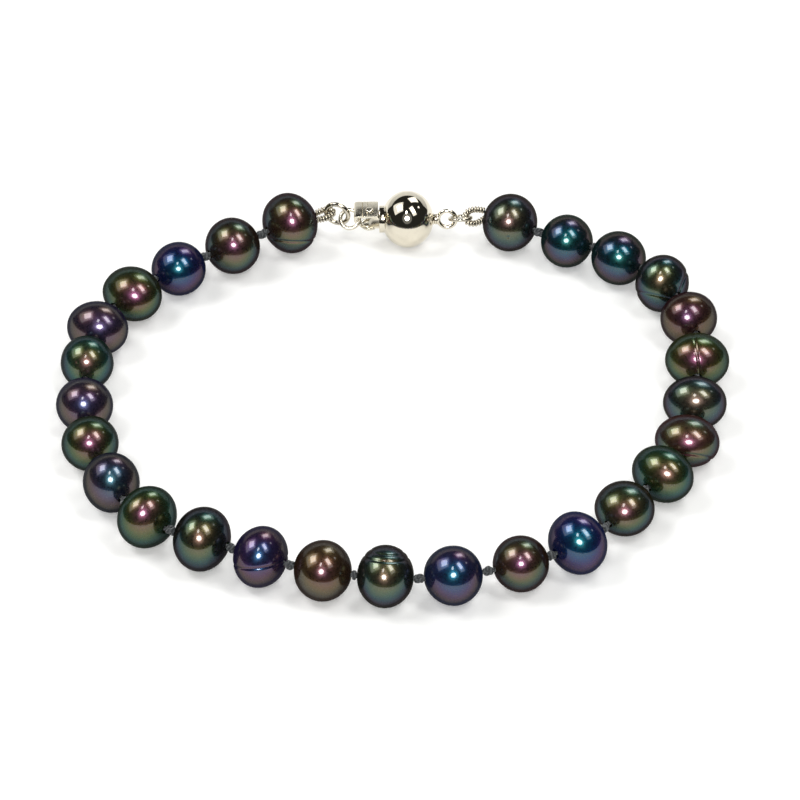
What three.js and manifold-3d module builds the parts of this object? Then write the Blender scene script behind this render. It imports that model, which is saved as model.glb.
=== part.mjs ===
// Knotted pearl bracelet, fastened and lying on a table as one closed loop.
// Twenty-seven drilled pearls sit on one silk thread with a knot between each pair. At both ends
// the thread turns back through a coil of fine silver wire. Each coil holds a jump ring, and the
// jump rings hold the two halves of the clasp: a hollow silver ball and the folded tongue in it.
// Millimetres, +Z up, +Y to the back, where the clasp lies. Origin under the middle of the loop.
import * as THREE from "three";
import { mergeVertices } from "three/addons/utils/BufferGeometryUtils.js";
import Module from "manifold-3d";

const wasm = await Module();
wasm.setup();

const degrees = Math.PI / 180;

// Pearls
const pearlSize = 6.0;
const pearlSides = 14;
const pearlBands = 9;
const boreOverrun = 1.1;

// Silk thread and its knots
const threadDiameter = 0.46;
const threadClearance = 0.17;
const threadSides = 6;
const threadSetback = 0.15;
const knotDiameter = 1.0;
const knotSpace = 1.05;

// Coils of fine wire round the end loops of the thread
const coilDiameter = 0.54;
const coilPitch = 0.25;
const coilGroove = 0.05;
const coilSides = 8;
const coilGap = 0.06;
const pearlGap = 0.2;

// Half of a loop from its end to its bend: shares of its reach and of the way out to its widest
const loopShape = [
  { along: 1, spread: 0 },
  { along: 0.74, spread: 0.6 },
  { along: 0.45, spread: 1 },
];
const loopBend = { along: 0.12, spread: 0.72 };

// Play between one link of the clasp's chain and the next
const linkPlay = 0.3;
const ringSides = 6;
const ringSteps = 18;

// Links, from the clasp outwards. Each hangs in the ring before it: swing moves it along that
// ring, yaw turns it about the ring's wire and roll turns it about its own length, in degrees.
const tongueRing = { outer: 2.4, wire: 0.42, roll: -44 };
const leftJumpRing = { outer: 2.95, wire: 0.5, swing: -23, yaw: 0, roll: -50 };
const leftLoop = { length: 2.4, width: 1.95, swing: 28, yaw: -32, roll: 74 };
const ballRing = { outer: 2.25, wire: 0.4, roll: 75 };
const rightJumpRing = { outer: 2.66, wire: 0.36, swing: 4, yaw: 0, roll: -102 };
const rightLoop = { length: 2.4, width: 2.25, swing: 8, yaw: -8, roll: 79 };

// Hollow ball of the clasp, with a collar round its mouth and a neck that carries a ring
const ballDiameter = 6.0;
const ballLength = 5.5;
const ballWall = 0.4;
const ballSides = 22;
const ballArcSteps = 10;
const hollowArcSteps = 6;
const collarDiameter = 2.9;
const collarLength = 0.22;
const mouthDiameter = 2.3;
const neckDiameter = 1.15;
const neckLength = 0.5;

// Tongue of folded sheet: a springy blade in the ball, a thumb plate above it, a pan below it
const sheetThickness = 0.25;
const bladeWidth = 1.5;
const bladeReach = 4.0;
const mouthClearance = 0.14;
const collarClearance = 0.12;
const plateWidth = 2.7;
const plateLength = 2.55;
const plateHeight = 1.4;
const plateCurl = 0.45;
const studDiameter = 0.95;
const studHeight = 0.2;
const studTopShare = 0.6;
const studSides = 12;
const studPlace = { along: 0.36, across: 0.12 };
const panDiameter = 1.9;
const panDepth = 0.4;
const panDrop = 0.55;
const panSides = 14;
const panFloorShare = 0.45;
const panBase = { radius: 0.72, rise: 0.6 };
const barWidth = 0.8;
const barReach = 0.1;

// The pearls in the order in which they lie, from the clasp's tongue round to its ball. Length runs
// along the thread, width lies flat and height stands up, as shares of the pearl size. Space is the
// way to the next pearl as a share of the knot space. Tint is the colour of the nacre.
const pearlTable = [
  { length: 0.92, width: 1.08, height: 1.09, space: 1.25, tint: 0x3a2d26 },
  { length: 0.95, width: 1.0, height: 0.99, space: 0.95, tint: 0x3d2b28 },
  { length: 0.95, width: 0.94, height: 0.94, space: 0.65, tint: 0x1f2a3f },
  { length: 0.96, width: 1.05, height: 0.93, space: 1.25, tint: 0x2b3427 },
  { length: 0.9, width: 1.08, height: 0.95, space: 0.35, tint: 0x2a2736 },
  { length: 0.92, width: 0.91, height: 0.94, space: 1.25, tint: 0x1d2c26 },
  { length: 0.93, width: 0.98, height: 0.95, space: 0.7, tint: 0x2c2533 },
  { length: 0.93, width: 0.97, height: 0.95, space: 1.3, tint: 0x1f2d25 },
  { length: 0.95, width: 0.95, height: 1.06, space: 1.2, tint: 0x1e2838 },
  { length: 0.9, width: 1.08, height: 1.09, space: 1.1, tint: 0x2d3326 },
  { length: 0.93, width: 1.1, height: 1.1, space: 0.9, tint: 0x2c2b29 },
  { length: 0.89, width: 1.04, height: 1.04, space: 0.95, tint: 0x251f36 },
  { length: 0.96, width: 1.03, height: 1.01, space: 0.53, tint: 0x332a24 },
  { length: 0.94, width: 1.05, height: 1.05, space: 1.0, tint: 0x343a35 },
  { length: 0.97, width: 1.0, height: 1.0, space: 1.3, tint: 0x232c45 },
  { length: 0.93, width: 0.95, height: 0.94, space: 0.9, tint: 0x2b2a25 },
  { length: 0.93, width: 1.06, height: 1.07, space: 2.05, tint: 0x1c2947 },
  { length: 0.99, width: 1.0, height: 0.9, space: 0.9, tint: 0x2f2a22 },
  { length: 0.9, width: 1.1, height: 0.96, space: 0.9, tint: 0x22342a },
  { length: 0.9, width: 1.11, height: 0.88, space: 0.55, tint: 0x38282a },
  { length: 0.88, width: 1.08, height: 0.95, space: 1.5, tint: 0x34363d },
  { length: 0.93, width: 1.1, height: 0.95, space: 1.45, tint: 0x33321f },
  { length: 0.9, width: 0.99, height: 0.95, space: 0.8, tint: 0x3a2428 },
  { length: 0.88, width: 0.95, height: 1.05, space: 1.0, tint: 0x262d2a },
  { length: 0.96, width: 0.95, height: 0.94, space: 0.55, tint: 0x1c2a2d },
  { length: 0.91, width: 0.93, height: 0.93, space: 0.95, tint: 0x1b2b2b },
  { length: 0.95, width: 1.01, height: 1.02, space: 0, tint: 0x2a2726 },
];

// Where the string passes in plan, X and Y from the middle of the clasp's ball
const routePoints = [
  [-18.4, -4.6], [-24.1, -8.2], [-28.9, -12.5], [-32.5, -18.3], [-33.1, -24.2], [-33.1, -31.0],
  [-32.5, -37.2], [-26.5, -49.7], [-20.6, -52.8], [-8.5, -57.6], [4.5, -58.5], [11.2, -55.9],
  [17.7, -53.7], [21.7, -46.8], [26.3, -42.1], [28.7, -36.0], [29.9, -23.4], [29.5, -16.3],
  [26.5, -11.0], [22.2, -6.0], [16.6, -3.5],
];
const routeRounds = 12;
const routeDivisions = 2000;

// A knot's outline: shares of the space that it fills and of the knot's diameter
const knotOutline = [
  { at: 0.14, width: 0.5 },
  { at: 0.26, width: 0.88 },
  { at: 0.5, width: 1.0 },
  { at: 0.74, width: 0.88 },
  { at: 0.86, width: 0.5 },
];

// Finishes
const silkGrey = 0x4b4e50;
const silverWhite = 0xd9d6cd;

function finish(color, roughness, metalness) {
  return new THREE.MeshStandardMaterial({ color, roughness, metalness });
}

function namedMesh(name, geometry, material) {
  const mesh = new THREE.Mesh(geometry, material);
  mesh.name = name;
  return mesh;
}

// A closed three.js geometry as a solid
function solidOf(geometry) {
  const bare = geometry.clone();
  bare.deleteAttribute("normal");
  bare.deleteAttribute("uv");
  const merged = mergeVertices(bare, 1e-4);
  return new wasm.Manifold(new wasm.Mesh({
    numProp: 3,
    vertProperties: new Float32Array(merged.attributes.position.array),
    triVerts: new Uint32Array(merged.index.array),
  }));
}

// A solid as a three.js geometry
function geometryOf(solid) {
  const mesh = solid.getMesh();
  const geometry = new THREE.BufferGeometry();
  geometry.setAttribute("position", new THREE.BufferAttribute(mesh.vertProperties, mesh.numProp));
  geometry.setIndex(new THREE.BufferAttribute(mesh.triVerts, 1));
  geometry.computeVertexNormals();
  return geometry;
}

// Closed geometries that meet, joined as solder joins them
function soldered(geometries) {
  return geometryOf(geometries.map(solidOf).reduce((whole, piece) => whole.add(piece)));
}

// A closed tube through upright sections, each with a centre, a heading in plan and a radius
function loftedTube(sections, sides) {
  const positions = [];
  for (const { centre, heading, radius } of sections) {
    const across = new THREE.Vector3(-Math.sin(heading), Math.cos(heading), 0);
    for (let side = 0; side < sides; side++) {
      const turn = (2 * Math.PI * (side + 0.5)) / sides;
      const point = centre.clone().addScaledVector(across, radius * Math.cos(turn));
      point.z += radius * Math.sin(turn);
      positions.push(point.x, point.y, point.z);
    }
  }
  const geometry = new THREE.BufferGeometry();
  geometry.setAttribute("position", new THREE.Float32BufferAttribute(positions, 3));
  geometry.setIndex(tubeTriangles(sections.length, sides));
  geometry.computeVertexNormals();
  return geometry;
}

function tubeTriangles(sectionCount, sides) {
  const triangles = [];
  for (let section = 0; section < sectionCount - 1; section++) {
    for (let side = 0; side < sides; side++) {
      const here = section * sides + side;
      const next = section * sides + ((side + 1) % sides);
      triangles.push(here, next, here + sides, next, next + sides, here + sides);
    }
  }
  const last = (sectionCount - 1) * sides;
  for (let side = 1; side < sides - 1; side++) {
    triangles.push(0, side + 1, side);
    triangles.push(last, last + side, last + side + 1);
  }
  return triangles;
}

// A pearl along X with its drill hole. An odd number of bands leaves a flat to stand on.
const boreRadius = threadDiameter / 2 + threadClearance;
const bandReach = Math.cos(Math.PI / (2 * pearlBands));
const flatReach = bandReach * Math.cos(Math.PI / pearlSides);

function pearlGeometry({ length, width, height }) {
  const oval = new THREE.SphereGeometry(0.5, pearlSides, pearlBands);
  oval.rotateZ(Math.PI / 2);
  oval.scale(length, width / bandReach, height / flatReach);
  const boreLength = length * boreOverrun;
  const bore = new THREE.CylinderGeometry(boreRadius, boreRadius, boreLength, pearlSides);
  bore.rotateZ(Math.PI / 2);
  return geometryOf(solidOf(oval).subtract(solidOf(bore)));
}

function ringRadius({ outer, wire }) {
  return (outer - wire) / 2;
}

// A ring of round wire in the plane of X and Y
function ringGeometry(ring) {
  return new THREE.TorusGeometry(ringRadius(ring), ring.wire / 2, ringSides, ringSteps);
}

// A loop of ribbed coil in the plane of X and Y: its bend at X = 0, its two ends at X = length
function coilLoopGeometry({ length, width }) {
  const half = (width - coilDiameter) / 2;
  const reach = length - coilDiameter / 2;
  const endSide = (coilDiameter + coilGap) / 2;
  const upperHalf = loopShape.map(({ along, spread }) => [
    reach * along,
    endSide + (half - endSide) * spread,
  ]);
  upperHalf.push([reach * loopBend.along, half * loopBend.spread]);
  const lowerHalf = upperHalf.map(([x, y]) => [x, -y]).reverse();
  const places = [...upperHalf, [0, 0], ...lowerHalf];
  const bend = new THREE.CatmullRomCurve3(
    places.map(([x, y]) => new THREE.Vector3(x + coilDiameter / 2, y, 0)),
  );
  const ribs = 2 * Math.round(bend.getLength() / coilPitch);
  const sections = [];
  for (let rib = 0; rib <= ribs; rib++) {
    const tangent = bend.getTangentAt(rib / ribs);
    sections.push({
      centre: bend.getPointAt(rib / ribs),
      heading: Math.atan2(tangent.y, tangent.x),
      radius: coilDiameter / 2 - (rib % 2 ? 0 : coilGroove),
    });
  }
  return loftedTube(sections, coilSides);
}

// The clasp's ball about the origin: shell, collar and neck are turned in one, and the ring of
// the neck is soldered on
const ballEnd = ballLength / 2;
const collarEnd = ballEnd + collarLength;
const ballRingWireAt = ballEnd + neckLength;

function ballProfile() {
  const outer = ballDiameter / 2;
  const inner = outer - ballWall;
  const innerEnd = ballEnd - ballWall;
  const collar = collarDiameter / 2;
  const mouth = mouthDiameter / 2;
  const neck = neckDiameter / 2;
  const fromNeck = Math.asin(neck / outer);
  const toCollar = Math.PI - Math.asin(collar / outer);
  const fromMouth = Math.PI - Math.asin(mouth / inner);
  const outerArc = new THREE.EllipseCurve(0, 0, ballEnd, outer, fromNeck, toCollar);
  const innerArc = new THREE.EllipseCurve(0, 0, innerEnd, inner, fromMouth, 0, true);
  const outside = outerArc.getPoints(ballArcSteps);
  const inside = innerArc.getPoints(hollowArcSteps);
  inside[inside.length - 1].y = 0;
  return [
    new THREE.Vector2(ballRingWireAt, 0),
    new THREE.Vector2(ballRingWireAt, neck),
    ...outside,
    new THREE.Vector2(-collarEnd, collar),
    new THREE.Vector2(-collarEnd, mouth),
    ...inside,
  ];
}

function ballGeometry() {
  const turned = ballProfile().map((point) => new THREE.Vector2(point.y, -point.x));
  const shell = new THREE.LatheGeometry(turned, ballSides);
  shell.rotateZ(Math.PI / 2);
  const ring = ringGeometry(ballRing);
  ring.rotateX(ballRing.roll * degrees);
  ring.translate(ballRingWireAt + ringRadius(ballRing), 0, 0);
  return soldered([shell, ring]);
}

// A strip of sheet, wide along Y, through points of X and Z
function stripGeometry(places, width) {
  const points = places.map(([x, z]) => new THREE.Vector2(x, z));
  const above = [];
  const below = [];
  points.forEach((point, i) => {
    const before = points[Math.max(i - 1, 0)];
    const after = points[Math.min(i + 1, points.length - 1)];
    const along = after.clone().sub(before).normalize();
    const off = new THREE.Vector2(-along.y, along.x).multiplyScalar(sheetThickness / 2);
    above.push(point.clone().add(off));
    below.unshift(point.clone().sub(off));
  });
  const outline = new THREE.Shape([...above, ...below]);
  const geometry = new THREE.ExtrudeGeometry(outline, { depth: width, bevelEnabled: false });
  geometry.translate(0, 0, -width / 2);
  geometry.rotateX(Math.PI / 2);
  return geometry;
}

// The tongue, with the ball's middle at the origin and its own outer end towards -X
const plateStart = -collarEnd - collarClearance;
const plateEnd = plateStart - plateLength;
const panMiddle = plateStart - panDiameter / 2;
const panEnd = plateStart - panDiameter;
const tongueRingWireAt = panEnd - barReach;
const bladeCorner = mouthDiameter / 2 - mouthClearance;
const leafHeight = Math.sqrt(bladeCorner ** 2 - (bladeWidth / 2) ** 2) - sheetThickness / 2;
const plateLevel = plateHeight - sheetThickness / 2;

function bladeGeometry() {
  const foldAt = bladeReach - ballEnd;
  const riseAt = plateStart - sheetThickness / 2;
  return stripGeometry([
    [plateStart - plateLength * 0.4, plateLevel - sheetThickness / 2],
    [riseAt - (plateLevel - leafHeight) * 0.5, (plateLevel + leafHeight) / 2],
    [riseAt, leafHeight],
    [foldAt - leafHeight, leafHeight * 0.6],
    [foldAt, 0],
    [foldAt - leafHeight, -leafHeight * 0.6],
    [riseAt, -leafHeight],
    [panMiddle, -panDrop - panDepth / 2],
  ], bladeWidth);
}

function plateGeometry() {
  return stripGeometry([
    [plateStart, plateLevel],
    [plateEnd + plateCurl, plateLevel],
    [plateEnd + plateCurl * 0.3, plateLevel - plateCurl * 0.3],
    [plateEnd + sheetThickness / 2, plateLevel - plateCurl],
    [plateEnd + plateCurl * 0.45, plateLevel - plateCurl * 1.6],
  ], plateWidth);
}

function studGeometry() {
  const height = studHeight + sheetThickness / 2;
  const foot = studDiameter / 2;
  const stud = new THREE.CylinderGeometry(foot * studTopShare, foot, height, studSides);
  stud.rotateX(Math.PI / 2);
  const x = plateStart - plateLength * studPlace.along;
  stud.translate(x, -plateWidth * studPlace.across, plateLevel + height / 2);
  return stud;
}

function panGeometry() {
  const radius = panDiameter / 2;
  const floor = -panDepth * panFloorShare;
  const profile = [
    new THREE.Vector2(0, -panDepth),
    new THREE.Vector2(radius * panBase.radius, -panDepth),
    new THREE.Vector2(radius, -panDepth * (1 - panBase.rise)),
    new THREE.Vector2(radius, 0),
    new THREE.Vector2(radius - sheetThickness, 0),
    new THREE.Vector2(radius - sheetThickness * 1.4, floor),
    new THREE.Vector2(0, floor),
  ];
  const pan = new THREE.LatheGeometry(profile, panSides);
  pan.rotateX(Math.PI / 2);
  pan.translate(panMiddle, 0, -panDrop);
  return pan;
}

function barGeometry() {
  const floor = -panDrop - panDepth * 0.6;
  return stripGeometry([
    [panMiddle, floor],
    [panEnd + sheetThickness, floor],
    [(panEnd + tongueRingWireAt) / 2, floor / 2],
    [tongueRingWireAt - sheetThickness / 4, 0],
  ], barWidth);
}

function tongueGeometry() {
  const ring = ringGeometry(tongueRing);
  ring.rotateX(-tongueRing.roll * degrees);
  ring.translate(tongueRingWireAt - ringRadius(tongueRing), 0, 0);
  const sheets = [bladeGeometry(), plateGeometry(), studGeometry(), panGeometry(), barGeometry()];
  return soldered([...sheets, ring]);
}

// The frame of a link that hangs in a ring: origin on that ring's wire, X along the link
function hangingFrom(ringFrame, ring, { swing, yaw, roll }) {
  const frame = new THREE.Group();
  const turn = swing * degrees;
  frame.rotation.set(roll * degrees, yaw * degrees, turn, "ZYX");
  frame.position.set(ringRadius(ring) * Math.cos(turn), ringRadius(ring) * Math.sin(turn), 0);
  ringFrame.add(frame);
  return frame;
}

// One side of the clasp: a jump ring in the clasp's own ring, and a coil loop in the jump ring.
// Gives the place where the loop meets its pearl.
function addChain(clasp, side, claspRing, claspRingAt, jumpRing, loop) {
  const outwards = side === "left" ? Math.PI : 0;
  const claspRingFrame = new THREE.Group();
  claspRingFrame.position.x = claspRingAt;
  claspRingFrame.rotation.set(claspRing.roll * degrees, 0, outwards, "ZYX");
  clasp.add(claspRingFrame);

  const jumpFrame = new THREE.Group();
  jumpFrame.position.x = ringRadius(jumpRing) - (claspRing.wire + jumpRing.wire) / 2 - linkPlay;
  hangingFrom(claspRingFrame, claspRing, jumpRing).add(jumpFrame);
  const jumpSilver = finish(silverWhite, 0.15, 1);
  jumpFrame.add(namedMesh(`jump_ring_${side}`, ringGeometry(jumpRing), jumpSilver));

  const coil = namedMesh(`gimp_${side}`, coilLoopGeometry(loop), finish(silverWhite, 0.3, 1));
  coil.position.x = -jumpRing.wire / 2 - linkPlay - coilDiameter;
  hangingFrom(jumpFrame, jumpRing, loop).add(coil);
  clasp.parent.updateMatrixWorld(true);
  return coil.localToWorld(new THREE.Vector3(loop.length + pearlGap, 0, 0));
}

// The string's way round from one coil to the other, fitted to the length of what is strung on it
function fittedRoute(start, end, length) {
  let scale = 1;
  let curve;
  for (let round = 0; round < routeRounds; round++) {
    const points = routePoints.map(([x, y]) => new THREE.Vector3(x * scale, y * scale, 0));
    curve = new THREE.CatmullRomCurve3([start, ...points, end]);
    curve.arcLengthDivisions = routeDivisions;
    scale *= length / curve.getLength();
  }
  return curve;
}

// Every pearl in millimetres, with the places where the thread goes in and comes out
function strungPearls(start, end) {
  const sizes = pearlTable.map(({ length, width, height, space, tint }) => ({
    length: length * pearlSize,
    width: width * pearlSize,
    height: height * pearlSize,
    space: space * knotSpace,
    tint,
  }));
  const total = sizes.reduce((sum, { length, space }) => sum + length + space, 0);
  const route = fittedRoute(start, end, total);
  let station = 0;
  return sizes.map((size) => {
    const first = route.getPointAt(station / total);
    station += size.length;
    const last = route.getPointAt(Math.min(station / total, 1));
    station += size.space;
    first.z = size.height / 2;
    last.z = size.height / 2;
    return { ...size, first, last, heading: Math.atan2(last.y - first.y, last.x - first.x) };
  });
}

function pearlMesh(pearl, number) {
  const name = `pearl_${String(number).padStart(2, "0")}`;
  const mesh = namedMesh(name, pearlGeometry(pearl), finish(pearl.tint, 0.2, 0.1));
  mesh.position.addVectors(pearl.first, pearl.last).multiplyScalar(0.5);
  mesh.rotation.z = pearl.heading;
  return mesh;
}

// The thread passes straight through each pearl and swells to a knot between two
function threadMesh(pearls) {
  const radius = threadDiameter / 2;
  const sections = [];
  pearls.forEach(({ first, last, heading }, i) => {
    const inwards = last.clone().sub(first).setLength(threadSetback);
    sections.push({ centre: first.clone().add(inwards), heading, radius });
    sections.push({ centre: last.clone().sub(inwards), heading, radius });
    if (i + 1 < pearls.length) sections.push(...knotSections(pearls[i], pearls[i + 1]));
  });
  return namedMesh("silk_thread", loftedTube(sections, threadSides), finish(silkGrey, 0.85, 0));
}

function knotSections(before, after) {
  const bend = after.heading - before.heading;
  const turn = Math.atan2(Math.sin(bend), Math.cos(bend));
  return knotOutline.map(({ at, width }) => ({
    centre: before.last.clone().lerp(after.first, at),
    heading: before.heading + turn * at,
    radius: Math.max(width * knotDiameter, threadDiameter) / 2,
  }));
}

function bracelet() {
  const whole = new THREE.Group();
  const clasp = new THREE.Group();
  clasp.position.z = ballDiameter / 2;
  whole.add(clasp);
  clasp.add(namedMesh("clasp_ball", ballGeometry(), finish(silverWhite, 0.08, 1)));
  clasp.add(namedMesh("clasp_tongue", tongueGeometry(), finish(silverWhite, 0.15, 1)));
  const tongueRingAt = tongueRingWireAt - ringRadius(tongueRing);
  const ballRingAt = ballRingWireAt + ringRadius(ballRing);
  const start = addChain(clasp, "left", tongueRing, tongueRingAt, leftJumpRing, leftLoop);
  const end = addChain(clasp, "right", ballRing, ballRingAt, rightJumpRing, rightLoop);

  const pearls = strungPearls(start.setZ(0), end.setZ(0));
  pearls.forEach((pearl, i) => whole.add(pearlMesh(pearl, i + 1)));
  whole.add(threadMesh(pearls));

  const box = new THREE.Box3().setFromObject(whole, true);
  whole.position.set(-(box.min.x + box.max.x) / 2, -(box.min.y + box.max.y) / 2, -box.min.z);
  return whole;
}

export default bracelet();
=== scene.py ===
import math

import bpy
import numpy as np
from mathutils import Matrix, Vector


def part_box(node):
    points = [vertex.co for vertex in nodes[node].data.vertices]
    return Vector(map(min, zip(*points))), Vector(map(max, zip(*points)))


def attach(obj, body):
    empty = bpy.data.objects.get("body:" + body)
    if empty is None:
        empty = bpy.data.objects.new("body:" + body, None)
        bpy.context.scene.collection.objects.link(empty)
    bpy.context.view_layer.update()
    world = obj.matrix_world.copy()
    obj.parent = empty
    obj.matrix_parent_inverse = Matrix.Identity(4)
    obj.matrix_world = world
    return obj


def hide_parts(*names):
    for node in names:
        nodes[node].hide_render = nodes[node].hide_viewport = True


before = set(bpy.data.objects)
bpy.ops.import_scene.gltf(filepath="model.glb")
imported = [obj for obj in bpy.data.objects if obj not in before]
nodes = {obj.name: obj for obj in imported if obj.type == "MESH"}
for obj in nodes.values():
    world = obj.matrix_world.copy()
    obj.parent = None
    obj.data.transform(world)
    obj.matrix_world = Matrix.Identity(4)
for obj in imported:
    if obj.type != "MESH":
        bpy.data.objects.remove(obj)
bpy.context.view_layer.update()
mm = 0.001
print("frame loaded:", len(nodes), "nodes")

cameraView = {
    "lookAt": (0.632, 2.595, 0.0),  # mm, near the middle of the loop on the table
    "elevation": 39.0,
    "distance": 700.0,
    "lens": 307.1,
}


def addCamera():
    look = cameraView
    angle = math.radians(look["elevation"])
    target = Vector(look["lookAt"]) * mm
    back = Vector((0, -math.cos(angle), math.sin(angle)))
    camera = bpy.data.cameras.new("camera")
    camera.lens = look["lens"]
    camera.sensor_width = 36
    camera.clip_start = 0.01
    holder = bpy.data.objects.new("camera", camera)
    bpy.context.scene.collection.objects.link(holder)
    holder.location = target + back * look["distance"] * mm
    holder.rotation_euler = (-back).to_track_quat("-Z", "Y").to_euler()
    bpy.context.scene.camera = holder


addCamera()
bpy.context.scene.view_settings.view_transform = "Standard"
print("camera set")


# helpers for making and measuring shapes

def deselectAll():
    if bpy.context.mode != "OBJECT":
        bpy.ops.object.mode_set(mode="OBJECT")
    bpy.ops.object.select_all(action="DESELECT")


def makeActive(piece):
    deselectAll()
    piece.select_set(True)
    bpy.context.view_layer.objects.active = piece


def applyModifier(piece, kind, **settings):
    makeActive(piece)
    modifier = piece.modifiers.new(kind.lower(), kind)
    for key, value in settings.items():
        setattr(modifier, key, value)
    bpy.ops.object.modifier_apply(modifier=modifier.name)


def joinPieces(name, parts):
    deselectAll()
    for part in parts:
        part.select_set(True)
    bpy.context.view_layer.objects.active = parts[0]
    if len(parts) > 1:
        bpy.ops.object.join()
    parts[0].name = name
    parts[0].data.name = name
    return parts[0]


def smooth(piece, angle=None):
    makeActive(piece)
    if angle is None:
        bpy.ops.object.shade_smooth()
    else:
        bpy.ops.object.shade_smooth_by_angle(angle=math.radians(angle))


def cornersOf(node):  # each corner of a CAD node once, as rows of x, y and z in mm
    mesh = nodes[node].data
    corners = np.zeros(len(mesh.vertices) * 3)
    mesh.vertices.foreach_get("co", corners)
    return np.unique(np.round(corners.reshape(-1, 3) / mm, 4), axis=0)


def meshFrom(name, points, faces):
    mesh = bpy.data.meshes.new(name)
    mesh.from_pydata([tuple(point) for point in points], [], faces)
    mesh.update()
    piece = bpy.data.objects.new(name, mesh)
    bpy.context.scene.collection.objects.link(piece)
    return piece


# A tube along a path in mm. Its UV map gives the way along in mm and the way round in turns.
def sweptTube(name, path, radius, sides, closed=False):
    path = np.asarray(path, float)
    count = len(path)
    radii = np.broadcast_to(np.asarray(radius, float), (count,))
    ahead = np.roll(path, -1, 0) - np.roll(path, 1, 0)
    if not closed:
        ahead[0] = path[1] - path[0]
        ahead[-1] = path[-1] - path[-2]
    ahead /= np.linalg.norm(ahead, axis=1)[:, None]
    side = np.cross(ahead[0], (0.0, 0.0, 1.0))
    if np.linalg.norm(side) < 0.1:
        side = np.cross(ahead[0], (0.0, 1.0, 0.0))
    sideways = []
    for direction in ahead:  # carried along the path without twist
        side = unit(side - direction * (side @ direction))
        sideways.append(side)
    sideways = np.array(sideways)
    other = np.cross(ahead, sideways)
    turn = np.zeros(count)
    if closed:
        last = sideways[-1] - ahead[0] * (sideways[-1] @ ahead[0])
        twist = math.atan2(last @ other[0], last @ sideways[0])
        turn = -twist * np.arange(count) / count
    angles = 2 * np.pi * np.arange(sides) / sides
    angles = angles[None, :] + turn[:, None]
    ring = (np.cos(angles)[..., None] * sideways[:, None, :]
            + np.sin(angles)[..., None] * other[:, None, :])
    points = (path[:, None, :] + ring * radii[:, None, None]).reshape(-1, 3) * mm
    along = lengthAlong(path)
    faces = []
    uvs = []
    rings = count if closed else count - 1
    for i in range(rings):
        j = (i + 1) % count
        reach = along[j] if j else along[-1] + np.linalg.norm(path[0] - path[-1])
        for k in range(sides):
            n = (k + 1) % sides
            faces.append((i * sides + k, i * sides + n, j * sides + n, j * sides + k))
            uvs += [(along[i], k / sides), (along[i], (k + 1) / sides),
                    (reach, (k + 1) / sides), (reach, k / sides)]
    if not closed:
        faces.append(tuple(reversed(range(sides))))
        faces.append(tuple((count - 1) * sides + k for k in range(sides)))
        uvs += [(0, 0)] * (2 * sides)
    piece = meshFrom(name, points, faces)
    layer = piece.data.uv_layers.new(name="alongRound")
    layer.data.foreach_set("uv", np.array(uvs, np.float32).ravel())
    smooth(piece)
    return piece


# A turned shape: the outline's points are (along the axis, from the axis) in mm, spun about X.
def turnedShape(name, outline, steps, closed=True):
    mesh = bpy.data.meshes.new(name)
    edges = [(i, i + 1) for i in range(len(outline) - 1)]
    if closed:
        edges.append((len(outline) - 1, 0))
    mesh.from_pydata([(x * mm, 0, max(r, 0) * mm) for x, r in outline], edges, [])
    piece = bpy.data.objects.new(name, mesh)
    bpy.context.scene.collection.objects.link(piece)
    makeActive(piece)
    bpy.ops.object.mode_set(mode="EDIT")
    bpy.ops.mesh.select_all(action="SELECT")
    bpy.ops.mesh.spin(steps=steps, angle=2 * math.pi, center=(0, 0, 0), axis=(1, 0, 0))
    bpy.ops.mesh.select_all(action="SELECT")
    bpy.ops.mesh.remove_doubles(threshold=1e-6)
    bpy.ops.mesh.normals_make_consistent(inside=False)
    bpy.ops.object.mode_set(mode="OBJECT")
    return piece


def unit(vector):
    return vector / np.linalg.norm(vector)


def lengthAlong(line):  # the way from the start of a line to each of its points
    return np.concatenate([[0], np.cumsum(np.linalg.norm(np.diff(line, axis=0), axis=1))])


def smoothLine(points, steps):  # a smooth curve through points, each with its own tangent
    points = np.asarray(points, float)
    before = np.vstack([2 * points[0] - points[1], points[:-1]])
    after = np.vstack([points[1:], 2 * points[-1] - points[-2]])
    slope = (after - before) / 2
    line = []
    for i in range(len(points) - 1):
        for t in np.arange(steps) / steps:
            a, b = points[i], points[i + 1]
            line.append((2 * t**3 - 3 * t**2 + 1) * a + (t**3 - 2 * t**2 + t) * slope[i]
                        + (3 * t**2 - 2 * t**3) * b + (t**3 - t**2) * slope[i + 1])
    line.append(points[-1])
    return np.array(line)


def evenLine(line, spacing):
    along = lengthAlong(line)
    count = max(int(along[-1] / spacing), 2)
    wanted = np.linspace(0, along[-1], count + 1)
    return np.stack([np.interp(wanted, along, line[:, k]) for k in range(3)], axis=1)


# helpers for materials

def linearColour(code):  # "#rrggbb" in sRGB to the linear colour that Blender's sockets take
    parts = [int(code[i:i + 2], 16) / 255 for i in (1, 3, 5)]
    parts = [c / 12.92 if c <= 0.04045 else ((c + 0.055) / 1.055) ** 2.4 for c in parts]
    return (*parts, 1.0)


def newMaterial(name):
    material = bpy.data.materials.new(name)
    material.use_nodes = True
    return material, material.node_tree.nodes["Principled BSDF"]


def addNode(material, kind, settings=None, links=None):
    node = material.node_tree.nodes.new(kind)
    for key, value in (settings or {}).items():
        if isinstance(key, int) or key in node.inputs:
            node.inputs[key].default_value = value
        else:
            setattr(node, key, value)
    for key, socket in (links or {}).items():
        material.node_tree.links.new(socket, node.inputs[key])
    return node


def setSockets(shader, **values):
    for key, value in values.items():
        shader.inputs[key.replace("_", " ")].default_value = value


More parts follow.
